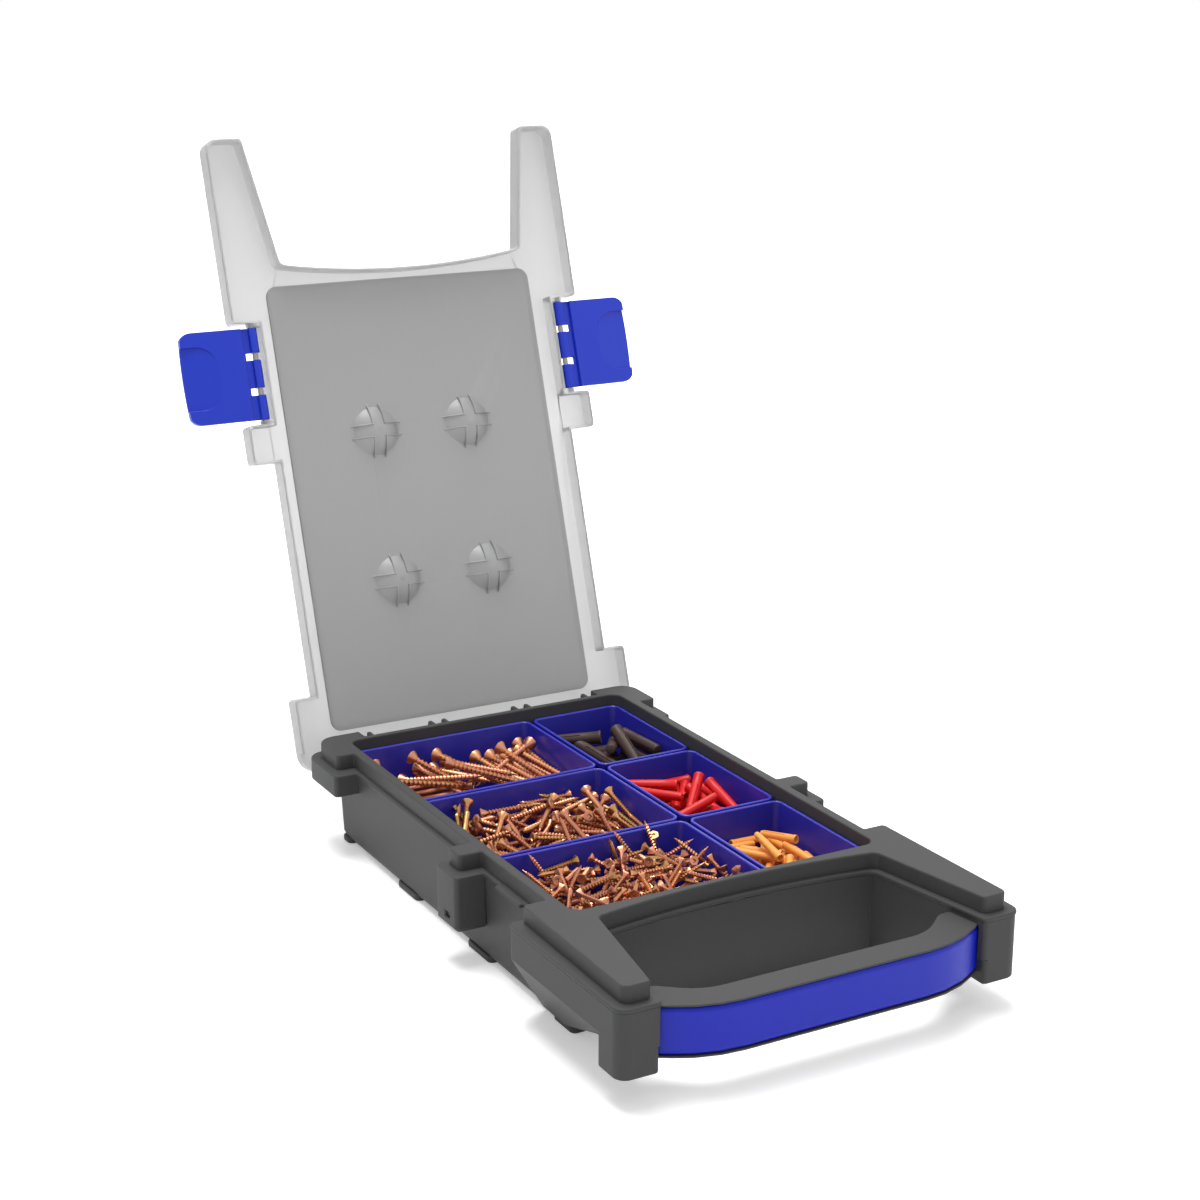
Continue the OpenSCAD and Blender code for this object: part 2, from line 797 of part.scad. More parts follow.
// A latch, swung out level with the lid; its inner face looks down in the closed lid's frame
module latch() {
    y0 = latch_y0;
    y1 = latch_y1;
    inner = latch_pin_z - latch_barrel_r;
    x_end = latch_pin_x + latch_reach;
    bow_r = (latch_len * latch_len / 4 + latch_bow * latch_bow) / (2 * latch_bow);
    color(latch_blue)
        placed()
            open_lid()
                difference() {
                    union() {
                        y_rod(latch_pin_x, latch_pin_z, y0, y1, latch_barrel_r);
                        intersection() {
                            slab([[latch_pin_x, y0, 0], [x_end, y0, latch_corner_r],
                                [x_end, y1, latch_corner_r], [latch_pin_x, y1, 0]],
                                inner, inner + latch_t);
                            translate([x_end - bow_r, latch_mid_y, inner - over])
                                cylinder(h = latch_t + 2 * over, r = bow_r, $fn = 360);
                        }
                    }
                    y_rod(latch_pin_x, latch_pin_z, y0 - over, y1 + over, latch_pin_r + turn_gap);
                    slab(box_path(latch_pin_x + latch_groove[0], latch_pin_x + latch_groove[1], y0 - over,
                        y1 + over, 0), inner - over, inner + latch_groove_t);
                    for (side = [-1, 1])
                        slab(box_path(latch_pin_x - latch_barrel_r - over, latch_pin_x + latch_notch_reach,
                            latch_mid_y + side * latch_notch_at - latch_notch / 2,
                            latch_mid_y + side * latch_notch_at + latch_notch / 2, 0),
                            inner - over, inner + 2 * latch_barrel_r + over);
                    scoop(x_end, inner);
                }
}

// The hollow for a fingertip on the latch's inner face, deepest at the free edge
scoop_t = 2.6;
scoop_len = 26;
scoop_w = 44;
scoop_r = 15;

module scoop(x_end, inner) {
    translate([x_end - scoop_len, latch_mid_y, inner])
        rotate([0, -atan2(scoop_t, scoop_len), 0])
            slab(box_path(0, scoop_len + scoop_r + over, -scoop_w / 2, scoop_w / 2, scoop_r),
                -2 * latch_t, 0);
}

module latch_right() {
    latch();
}

module latch_left() {
    mirror([1, 0, 0])
        latch();
}

// A bin: drafted walls and a flat floor, its top corner given by its left and back sides
function bin_path(x0, x1, y0, y1, e) = box_path(x0 + e, x1 - e, y0 + e, y1 - e, bin_r);

module bin_block(x0, x1, y1, e, low, high) {
    y0 = y1 - bin_len;
    hull() {
        slab(bin_path(x0, x1, y0, y1, e), high - over, high);
        slab(bin_path(x0, x1, y0, y1, e + bin_draft), low, low + over);
    }
}

module bin(x0, w, row) {
    y1 = -row * bin_pitch;
    color(blue)
        placed()
            difference() {
                bin_block(x0, x0 + w, y1, 0, bin_floor_z, -bin_drop);
                bin_block(x0, x0 + w, y1, bin_wall, bin_floor_z + bin_wall, over - bin_drop);
            }
}

big_x = -bins_w / 2;
small_x = bins_w / 2 - small_bin_w;

module bin_large_back() {
    bin(big_x, big_bin_w, 0);
}

module bin_large_middle() {
    bin(big_x, big_bin_w, 1);
}

module bin_large_front() {
    bin(big_x, big_bin_w, 2);
}

module bin_small_back() {
    bin(small_x, small_bin_w, 0);
}

module bin_small_middle() {
    bin(small_x, small_bin_w, 1);
}

module bin_small_front() {
    bin(small_x, small_bin_w, 2);
}

// A countersunk screw along +X, from its head; item holds its length, shank and head diameters
module screw(item) {
    head = (item[2] - item[1]) / 2;
    rotate([0, 90, 0]) {
        cylinder(h = head, r1 = item[2] / 2, r2 = item[1] / 2);
        translate([0, 0, head])
            cylinder(h = item[0] - head - item[1], r = item[1] / 2);
        translate([0, 0, item[0] - item[1]])
            cylinder(h = item[1], r1 = item[1] / 2, r2 = item[1] * screw_tip_share);
    }
}

// A wall plug along +X; item holds its length, outer and bore diameters
module plug(item) {
    rotate([0, 90, 0])
        difference() {
            cylinder(h = item[0], r = item[1] / 2);
            translate([0, 0, -over])
                cylinder(h = item[0] * plug_bore_share, r = item[2] / 2);
        }
}

// Stacks pieces of a length and a width in lanes across a bin, as many as it has room for
module laid(x0, w, row, length, width, layers, lane_share) {
    inset = bin_wall + bin_draft + content_gap + bin_r * soft_share;
    floor_top = bin_floor_z + bin_wall;
    pitch = width + content_gap;
    room = bin_len - 2 * inset;
    across = floor(room / (lane_share * pitch));
    columns = min(content_columns, floor((w - 2 * inset + content_gap) / (length + content_gap)));
    for (column = [0 : columns - 1], place = [0 : across - 1], layer = [0 : layers - 1])
        translate([x0 + inset + column * (length + content_gap),
            -row * bin_pitch - inset - (place + 1 / 2) * room / across,
            floor_top + content_gap + width / 2 + layer * pitch])
            children();
}

module screws_large() {
    color(screw_gold)
        placed()
            laid(big_x, big_bin_w, 0, screw_large[0], screw_large[2], 3, 1)
                screw(screw_large);
}

module screws_medium() {
    color(screw_gold)
        placed()
            laid(big_x, big_bin_w, 1, screw_medium[0], screw_medium[2], 4, 2)
                screw(screw_medium);
}

module screws_small() {
    color(screw_gold)
        placed()
            laid(big_x, big_bin_w, 2, screw_small[0], screw_small[2], 5, 2.4)
                screw(screw_small);
}

module plugs_brown() {
    color([0.33, 0.24, 0.21])
        placed()
            laid(small_x, small_bin_w, 0, plug_brown[0], plug_brown[1], 3, 1)
                plug(plug_brown);
}

module plugs_red() {
    color([0.84, 0.14, 0.14])
        placed()
            laid(small_x, small_bin_w, 1, plug_red[0], plug_red[1], 4, 1.8)
                plug(plug_red);
}

module plugs_orange() {
    color([0.96, 0.62, 0.30])
        placed()
            laid(small_x, small_bin_w, 2, plug_orange[0], plug_orange[1], 5, 2.4)
                plug(plug_orange);
}

base_tray();
handle_grip();
hinge_pin_left();
hinge_pin_right();
lid();
latch_pin_left();
latch_pin_right();
latch_left();
latch_right();
bin_large_back();
bin_large_middle();
bin_large_front();
bin_small_back();
bin_small_middle();
bin_small_front();
screws_large();
screws_medium();
screws_small();
plugs_brown();
plugs_red();
plugs_orange();
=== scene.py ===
# Open carry case for screws and wall plugs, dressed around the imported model.
import bpy, bmesh, json, math
import numpy
from mathutils import Matrix, Vector


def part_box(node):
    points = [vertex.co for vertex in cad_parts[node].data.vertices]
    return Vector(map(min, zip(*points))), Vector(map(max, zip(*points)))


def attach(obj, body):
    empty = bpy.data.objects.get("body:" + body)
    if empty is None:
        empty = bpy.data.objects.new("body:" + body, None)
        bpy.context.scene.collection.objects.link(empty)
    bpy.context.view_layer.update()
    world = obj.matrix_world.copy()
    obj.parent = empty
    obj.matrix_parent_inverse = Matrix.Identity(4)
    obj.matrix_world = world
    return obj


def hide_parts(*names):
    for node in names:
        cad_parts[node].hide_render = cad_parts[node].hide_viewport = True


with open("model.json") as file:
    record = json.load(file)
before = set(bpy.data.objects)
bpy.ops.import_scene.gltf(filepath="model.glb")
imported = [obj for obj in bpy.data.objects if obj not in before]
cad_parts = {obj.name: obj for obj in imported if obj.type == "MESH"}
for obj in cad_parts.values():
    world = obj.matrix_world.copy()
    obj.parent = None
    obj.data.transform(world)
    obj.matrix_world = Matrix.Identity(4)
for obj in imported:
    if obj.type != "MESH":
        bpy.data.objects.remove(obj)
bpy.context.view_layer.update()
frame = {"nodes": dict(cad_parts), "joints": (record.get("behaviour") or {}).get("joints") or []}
nodes = frame["nodes"]
mm = 0.001

# The case's own frame: y = 0 at the bins' back edge, z = 0 at the rim top, millimetres
caseOrigin = Vector((0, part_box("bin_large_back")[1].y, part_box("base_tray")[1].z))
joints = {j["name"]: j for j in frame["joints"]}
hingeAt = Vector(joints["lid_hinge"]["pos_m"])
openAngle = math.radians(-joints["lid_hinge"]["range_deg"][0])
print("frame loaded, lid open by", round(math.degrees(openAngle), 1))


def caseMatrix():
    return Matrix.Translation(caseOrigin) @ Matrix.Scale(mm, 4)


def lidMatrix():
    turn = Matrix.Rotation(-openAngle, 4, "X")
    return Matrix.Translation(hingeAt) @ turn @ Matrix.Translation(-hingeAt) @ caseMatrix()


def facing(direction):  # turns a camera or a lamp to look that way
    return direction.to_track_quat("-Z", "Y").to_matrix().to_4x4()


# Camera, fitted to the photograph; its place is in the case's own frame
camera = {
    "place": (-687.5, -1387.9, 547.2),
    "azimuth": -29.327,
    "elevation": 16.537,
    "roll": -0.207,
    "focalPixels": 2278.5,
    "imagePixels": 1200,
    "sensor": 36,
    "near": 0.05,
    "far": 30,
}


def makeCamera():
    data = bpy.data.cameras.new("camera")
    data.sensor_width = camera["sensor"]
    data.lens = camera["focalPixels"] / camera["imagePixels"] * camera["sensor"]
    data.clip_start = camera["near"]
    data.clip_end = camera["far"]
    az, el = math.radians(camera["azimuth"]), math.radians(camera["elevation"])
    look = -Vector((math.sin(az) * math.cos(el), -math.cos(az) * math.cos(el), math.sin(el)))
    roll = Matrix.Rotation(-math.radians(camera["roll"]), 4, "Z")
    obj = bpy.data.objects.new("camera", data)
    obj.matrix_world = Matrix.Translation(caseMatrix() @ Vector(camera["place"])) @ facing(look) @ roll
    bpy.context.scene.collection.objects.link(obj)
    bpy.context.scene.camera = obj
    print("camera set")


makeCamera()


def addNode(tree, kind, inputs=None, **settings):
    node = tree.nodes.new("ShaderNode" + kind)
    for name, value in settings.items():
        setattr(node, name, value)
    for name, value in (inputs or {}).items():
        node.inputs[name].default_value = value
    return node


def addLinks(tree, *pairs):
    for given, taken in pairs:
        tree.links.new(given, taken)


def mixByRay(tree, lighting, shown, surface):  # one shader lights the object, the other is what is seen
    path = addNode(tree, "LightPath")
    seen = path.outputs["Is Camera Ray"]
    for ray in ("Is Glossy Ray", "Is Transmission Ray"):
        both = addNode(tree, "Math", operation="ADD", use_clamp=True)
        addLinks(tree, (seen, both.inputs[0]), (path.outputs[ray], both.inputs[1]))
        seen = both.outputs[0]
    mix = addNode(tree, "MixShader")
    addLinks(tree, (seen, mix.inputs[0]), (lighting.outputs[0], mix.inputs[1]),
             (shown.outputs[0], mix.inputs[2]), (mix.outputs[0], surface))


# Light: a white room, a big soft lamp overhead, weak ones from the right front and from behind
lights = {
    "world": 0.66,
    "aim": (0, 0, 0.15),
    "lamps": {
        "key": {"place": (-0.15, 0.35, 2.7), "size": 1.5, "power": 64},
        "fill": {"place": (1.8, -1.6, 1.2), "size": 1.8, "power": 5},
        "rim": {"place": (0.6, 2.0, 1.9), "size": 1.4, "power": 14},
    },
}


def makeLights():
    world = bpy.data.worlds.new("room")
    bpy.context.scene.world = world
    world.use_nodes = True
    tree = world.node_tree
    tree.nodes.clear()
    out = addNode(tree, "OutputWorld")
    room, white = [addNode(tree, "Background", {"Color": (1, 1, 1, 1), "Strength": strength})
                   for strength in (lights["world"], 1)]
    mixByRay(tree, room, white, out.inputs["Surface"])
    for name, lamp in lights["lamps"].items():
        data = bpy.data.lights.new(name, "AREA")
        data.shape = "DISK"
        data.size = lamp["size"]
        data.energy = lamp["power"]
        obj = bpy.data.objects.new(name, data)
        place = Vector(lamp["place"])
        obj.matrix_world = Matrix.Translation(place) @ facing(Vector(lights["aim"]) - place)
        bpy.context.scene.collection.objects.link(obj)
    print("lights set")


makeLights()
bpy.context.scene.view_settings.view_transform = "Standard"

# Floor: it is seen whiter away from the object, so that floor and room meet in white
stage = {
    "size": 9, "color": (0.93, 0.93, 0.93), "rough": 0.9,
    "fade": {"From Min": 0.35, "From Max": 1.3, "To Min": 0.30, "To Max": 1.0},
}


def makeFloor():
    bm = bmesh.new()
    bmesh.ops.create_grid(bm, x_segments=1, y_segments=1, size=stage["size"])
    mesh = bpy.data.meshes.new("floor")
    bm.to_mesh(mesh)
    bm.free()
    obj = bpy.data.objects.new("floor", mesh)
    bpy.context.scene.collection.objects.link(obj)
    mat = bpy.data.materials.new("paleFloor")
    mat.use_nodes = True
    tree = mat.node_tree
    bsdf = tree.nodes["Principled BSDF"]
    bsdf.inputs["Base Color"].default_value = (*stage["color"], 1)
    bsdf.inputs["Roughness"].default_value = stage["rough"]
    coords = addNode(tree, "TexCoord")
    away = addNode(tree, "VectorMath", operation="LENGTH")
    fade = addNode(tree, "MapRange", stage["fade"], interpolation_type="SMOOTHSTEP")
    glow = addNode(tree, "Emission")
    both = addNode(tree, "AddShader")
    addLinks(tree, (coords.outputs["Object"], away.inputs[0]), (away.outputs["Value"], fade.inputs["Value"]),
             (fade.outputs["Result"], glow.inputs["Strength"]), (bsdf.outputs[0], both.inputs[0]),
             (glow.outputs[0], both.inputs[1]))
    mixByRay(tree, bsdf, both, tree.nodes["Material Output"].inputs["Surface"])
    mesh.materials.append(mat)
    print("floor laid")


makeFloor()

# Shared effect: fine moulded texture, with a little variation in tone and polish
mould = {
    "inputs": (("Color", "NodeSocketColor", (0.1, 0.1, 0.1, 1)), ("Tone", "NodeSocketFloat", 0.1),
               ("Rough", "NodeSocketFloat", 0.45), ("Rough Change", "NodeSocketFloat", 0.08),
               ("Grain", "NodeSocketFloat", 1500.0), ("Grain Depth", "NodeSocketFloat", 0.1)),
    "outputs": (("Color", "NodeSocketColor"), ("Roughness", "NodeSocketFloat"),
                ("Normal", "NodeSocketVector")),
    "broad": {"Scale": 14, "Detail": 5},
    "fine": {"Detail": 2},
    "bump": {"Distance": 0.0001},
}


def makeMouldedGroup():
    group = bpy.data.node_groups.new("mouldedFinish", "ShaderNodeTree")
    for name, kind, value in mould["inputs"]:
        socket = group.interface.new_socket(name, in_out="INPUT", socket_type=kind)
        socket.default_value = value
    for name, kind in mould["outputs"]:
        group.interface.new_socket(name, in_out="OUTPUT", socket_type=kind)
    given = group.nodes.new("NodeGroupInput")
    out = group.nodes.new("NodeGroupOutput")
    coords = addNode(group, "TexCoord")
    broad = addNode(group, "TexNoise", mould["broad"])
    fine = addNode(group, "TexNoise", mould["fine"])
    centred = addNode(group, "Math", {1: 0.5}, operation="SUBTRACT")
    toned = addNode(group, "Math", {2: 1}, operation="MULTIPLY_ADD")
    color = addNode(group, "VectorMath", operation="SCALE")
    rough = addNode(group, "Math", operation="MULTIPLY_ADD")
    bump = addNode(group, "Bump", mould["bump"])
    addLinks(group, (coords.outputs["Object"], broad.inputs["Vector"]),
             (coords.outputs["Object"], fine.inputs["Vector"]),
             (given.outputs["Grain"], fine.inputs["Scale"]),
             (broad.outputs[0], centred.inputs[0]), (centred.outputs[0], toned.inputs[0]),
             (given.outputs["Tone"], toned.inputs[1]), (given.outputs["Color"], color.inputs[0]),
             (toned.outputs[0], color.inputs["Scale"]), (centred.outputs[0], rough.inputs[0]),
             (given.outputs["Rough Change"], rough.inputs[1]), (given.outputs["Rough"], rough.inputs[2]),
             (given.outputs["Grain Depth"], bump.inputs["Strength"]),
             (fine.outputs[0], bump.inputs["Height"]), (color.outputs[0], out.inputs["Color"]),
             (rough.outputs[0], out.inputs["Roughness"]), (bump.outputs[0], out.inputs["Normal"]))
    return group


mouldedFinish = makeMouldedGroup()

finishes = {
    "greyPlastic": {"color": (0.055, 0.055, 0.056), "gloss": 0.2, "rough": 0.55, "tone": 0.12, "grain": 1800,
                    "depth": 0.25},
    "binBlue": {"color": (0.018, 0.017, 0.30), "gloss": 0.45, "rough": 0.30, "tone": 0.10, "grain": 900,
                "depth": 0.05},
    # a lighter copy of binBlue for the lip's top: painted highlight, as if the up-facing rim catches more
    # light
    "binRimPaintedHighlight": {"color": (0.030, 0.028, 0.40), "gloss": 0.5, "rough": 0.28, "tone": 0.10, "grain": 900,
               "depth": 0.05},
    "latchBlue": {"color": (0.008, 0.031, 0.47), "gloss": 0.35, "rough": 0.36, "tone": 0.08, "grain": 1500,
                  "depth": 0.12},
    "gripBlue": {"color": (0.003, 0.012, 0.41), "gloss": 0.3, "rough": 0.40, "tone": 0.10, "grain": 1400,
                 "depth": 0.20},
    "plugBrown": {"color": (0.052, 0.030, 0.025), "gloss": 0.3, "rough": 0.45, "tone": 0.25, "grain": 900,
                  "depth": 0.15},
    "plugRed": {"color": (0.62, 0.008, 0.008), "gloss": 0.3, "rough": 0.38, "tone": 0.25, "grain": 900,
                "depth": 0.15},
    "plugOrange": {"color": (0.88, 0.36, 0.075), "gloss": 0.3, "rough": 0.42, "tone": 0.25, "grain": 900,
                   "depth": 0.15},
    "pinPlastic": {"color": (0.42, 0.40, 0.34), "gloss": 0.5, "rough": 0.30, "tone": 0.10, "grain": 900,
                   "depth": 0.05},
    "lidClear": {"color": (0.57, 0.57, 0.57), "transmission": 0.70, "ior": 1.49, "rough": 0.34, "tone": 0.04,
                 "grain": 1200, "depth": 0.15},
    "lidPanel": {"color": (0.25, 0.25, 0.25), "transmission": 0.30, "ior": 1.49, "rough": 0.42, "tone": 0.04,
                 "grain": 1200, "depth": 0.15},
    "steel": {"color": (0.56, 0.57, 0.58), "metal": 1, "rough": 0.3, "roughChange": 0.3, "tone": 0.3,
              "grain": 1500, "depth": 0.2},
    "screwGold": {"color": (0.56, 0.27, 0.12), "metal": 1, "rough": 0.34, "roughChange": 0.3, "tone": 0.3,
                  "grain": 1500, "depth": 0.2},
}
shaderSockets = {"gloss": "Specular IOR Level", "transmission": "Transmission Weight", "ior": "IOR",
                 "metal": "Metallic"}
finishSockets = {"rough": "Rough", "roughChange": "Rough Change", "tone": "Tone", "grain": "Grain",
                 "depth": "Grain Depth"}


def makeMaterial(name):
    look = finishes[name]
    mat = bpy.data.materials.new(name)
    mat.use_nodes = True
    tree = mat.node_tree
    bsdf = tree.nodes["Principled BSDF"]
    finish = addNode(tree, "Group", node_tree=mouldedFinish, name="finish")
    finish.inputs["Color"].default_value = (*look["color"], 1)
    for node, sockets in ((bsdf, shaderSockets), (finish, finishSockets)):
        for key, socket in sockets.items():
            if key in look:
                node.inputs[socket].default_value = look[key]
    addLinks(tree, (finish.outputs["Color"], bsdf.inputs["Base Color"]),
             (finish.outputs["Roughness"], bsdf.inputs["Roughness"]),
             (finish.outputs["Normal"], bsdf.inputs["Normal"]))
    return mat


materials = {name: makeMaterial(name) for name in finishes}

# Plated screws: every screw has a tint, from copper pink through gold to olive, and it shifts along it
screwTint = {
    "noise": {"Scale": 110, "Detail": 2},
    "shift": 0.9,
    "stops": [(0.0, (0.52, 0.215, 0.135)), (0.35, (0.56, 0.25, 0.13)), (0.62, (0.56, 0.28, 0.12)),
              (0.85, (0.44, 0.27, 0.09)), (1.0, (0.24, 0.19, 0.05))],
}


def tintScrews():
    tree = materials["screwGold"].node_tree
    tint = addNode(tree, "Attribute", attribute_name="tint")
    coords = addNode(tree, "TexCoord")
    noise = addNode(tree, "TexNoise", screwTint["noise"])
    swing = screwTint["shift"]
    shift = addNode(tree, "Math", {1: swing, 2: -swing / 2}, operation="MULTIPLY_ADD")
    total = addNode(tree, "Math", operation="ADD", use_clamp=True)
    ramp = addNode(tree, "ValToRGB")
    stops = ramp.color_ramp.elements
    for i, (at, color) in enumerate(screwTint["stops"]):
        stop = stops[i] if i < 2 else stops.new(at)
        stop.position = at
        stop.color = (*color, 1)
    addLinks(tree, (coords.outputs["Object"], noise.inputs["Vector"]), (noise.outputs[0], shift.inputs[0]),
             (shift.outputs[0], total.inputs[0]), (tint.outputs["Fac"], total.inputs[1]),
             (total.outputs[0], ramp.inputs[0]),
             (ramp.outputs["Color"], tree.nodes["finish"].inputs["Color"]))


tintScrews()
print("materials made:", len(materials))

# Loose screws and plugs: one of each kind is turned, then laid in heaps
screwKinds = {
    "large": {"length": 72, "head": 5.2, "shank": 2.5, "core": 1.45, "cone": 5.2, "pitch": 3.3, "sides": 10,
              "recess": 2.5},
    "medium": {"length": 40, "head": 4.1, "shank": 2.0, "core": 1.2, "cone": 3.9, "pitch": 2.3, "sides": 8,
               "recess": 2.0},
    "small": {"length": 28, "head": 3.5, "shank": 1.7, "core": 1.0, "cone": 3.4, "pitch": 1.9, "sides": 6,
              "recess": 1.7},
}
screwShape = {
    "pitMiddle": 0.8, "pit": 0.7, "pitEdge": 0.12,  # the recess: shares of its radius, and its edge in mm
    "dome": 0.9, "rimTop": 0.25, "rimLow": 0.97, "rimDeep": 0.75,  # the head's rim
    "neck": 1.25, "neckDeep": 0.72, "neckEnd": 1.25,  # the cone under it
    "star": 0.72, "starFrom": 0.1, "starTo": 1.02,  # how far the star's inner corners go in
    "threadFrom": 0.8, "taper": 3.4, "point": 0.04,  # the thread's start, and the length and end of the tip
    "merge": 0.02, "smooth": 40,
}


def softenFaces(bm, angle):
    for face in bm.faces:
        face.smooth = True
    for edge in bm.edges:
        edge.smooth = len(edge.link_faces) == 2 and edge.calc_face_angle(0) < math.radians(angle)


def spinPoints(bm, points, **settings):
    verts = [bm.verts.new((r, 0, z)) for r, z in points]
    edges = [bm.edges.new(pair) for pair in zip(verts, verts[1:])]
    bmesh.ops.spin(bm, geom=verts + edges, cent=(0, 0, 0), axis=(0, 0, 1), **settings)


def turnProfile(bm, points, sides, merge=0.01):
    spinPoints(bm, points, steps=sides, angle=math.tau, use_merge=True)
    bmesh.ops.remove_doubles(bm, verts=bm.verts, dist=merge)


def keepTemplate(bm, name, angle):
    softenFaces(bm, angle)
    mesh = bpy.data.meshes.new(name)
    bm.to_mesh(mesh)
    bm.free()
    print(name, len(mesh.polygons), "faces")
    return mesh


def makeScrewHead(bm, look, shape):
    sides, head, core, recess, cone = [look[key] for key in ("sides", "head", "core", "recess", "cone")]
    pit, neckEnd = recess * shape["pit"], cone * shape["neckEnd"]
    turnProfile(bm, [(0, recess * shape["pitMiddle"]), (pit, pit), (recess, shape["pitEdge"]),
                     (head * shape["dome"], 0), (head, shape["rimTop"]),
                     (head * shape["rimLow"], shape["rimDeep"]),
                     (look["shank"] * shape["neck"], cone * shape["neckDeep"]), (core, neckEnd),
                     (0, neckEnd)], sides)
    for v in bm.verts:  # every second corner of the recess goes in, for a star drive
        r = math.hypot(v.co.x, v.co.y)
        turn = round(math.degrees(math.atan2(v.co.y, v.co.x)) * sides / 360)
        if shape["starFrom"] < r < recess * shape["starTo"] and turn % 2:
            v.co.x *= shape["star"]
            v.co.y *= shape["star"]
    bmesh.ops.recalc_face_normals(bm, faces=bm.faces)


def makeThread(look, shape):  # a valley, a crest and the next valley, turned and raised along the shank
    sides, core, shank, tip = [look[key] for key in ("sides", "core", "shank", "length")]
    start = look["cone"] * shape["threadFrom"]
    turns = round((tip - start) / look["pitch"])
    pitch = (tip - start) / turns
    bm = bmesh.new()
    spinPoints(bm, [(core, start), (shank, start + 0.5 * pitch), (core, start + pitch)],
               dvec=(0, 0, pitch / sides), steps=sides * (turns - 1), angle=math.tau * (turns - 1))
    bmesh.ops.remove_doubles(bm, verts=bm.verts, dist=shape["merge"])
    taper = shank * shape["taper"]
    for v in bm.verts:
        left = max(tip - v.co.z, 0)
        if left < taper:
            v.co.x *= max(left / taper, shape["point"])
            v.co.y *= max(left / taper, shape["point"])
    bmesh.ops.holes_fill(bm, edges=bm.edges, sides=0)
    bmesh.ops.recalc_face_normals(bm, faces=bm.faces)
    mesh = bpy.data.meshes.new("thread")
    bm.to_mesh(mesh)
    bm.free()
    return mesh


def makeScrew(kind):
    look = screwKinds[kind]
    bm = bmesh.new()
    makeScrewHead(bm, look, screwShape)
    thread = makeThread(look, screwShape)
    bm.from_mesh(thread)
    bpy.data.meshes.remove(thread)
    return keepTemplate(bm, "screw" + kind, screwShape["smooth"])


plugKinds = {
    "brown": {"length": 50, "radius": 5.0, "bore": 3.5, "sides": 14},
    "red": {"length": 40, "radius": 4.0, "bore": 2.8, "sides": 14},
    "orange": {"length": 28, "radius": 3.0, "bore": 2.0, "sides": 12},
}
plugShape = {
    "boreDeep": 0.66, "flare": 1.12, "flareDeep": 0.5,
    "collar": [(0.96, 0), (1, 0.4), (1, 1.6), (0.93, 2.0)],  # share of the radius, depth in mm
    "body": [(0.9, 0.3), (0.84, 0.62), (0.78, 0.9), (0.62, 0.985)],  # shares of the radius and of the length
    "slit": 0.34, "slitEdge": 0.04, "slitDepth": 0.9, "slitFrom": 0.25,
    "outer": 0.7, "middle": 0.05, "facing": 0.6, "smooth": 50,
}


def makePlug(kind):
    look, shape = plugKinds[kind], plugShape
    r, bore, tall = look["radius"], look["bore"], look["length"]
    boreEnd = tall * shape["boreDeep"]
    bm = bmesh.new()
    turnProfile(bm, [(0, boreEnd), (bore, boreEnd), (bore, shape["flareDeep"]), (bore * shape["flare"], 0),
                     *[(r * wide, deep) for wide, deep in shape["collar"]],
                     *[(r * wide, tall * deep) for wide, deep in shape["body"]], (0, tall)], look["sides"])
    bmesh.ops.recalc_face_normals(bm, faces=bm.faces)

    def onSlit(v, side):
        outer = r * shape["outer"]
        return (math.hypot(v.co.x, v.co.y) > outer and v.co.x * side > outer
                and abs(v.co.y) < shape["middle"] and v.co.z > tall * shape["slitFrom"])

    for side in (1, -1):  # the slits: the long edges on both sides are cut open and pressed in
        edges = [e for e in bm.edges if all(onSlit(v, side) for v in e.verts)]
        cut = bmesh.ops.bevel(bm, geom=edges, offset=shape["slit"], affect="EDGES", segments=1, profile=0.5,
                              material=-1)
        faces = [f for f in cut["faces"] if f.normal.x * side > shape["facing"]]
        bmesh.ops.inset_region(bm, faces=faces, thickness=shape["slitEdge"], depth=-shape["slitDepth"],
                               use_even_offset=True)
    return keepTemplate(bm, "plug" + kind, shape["smooth"])


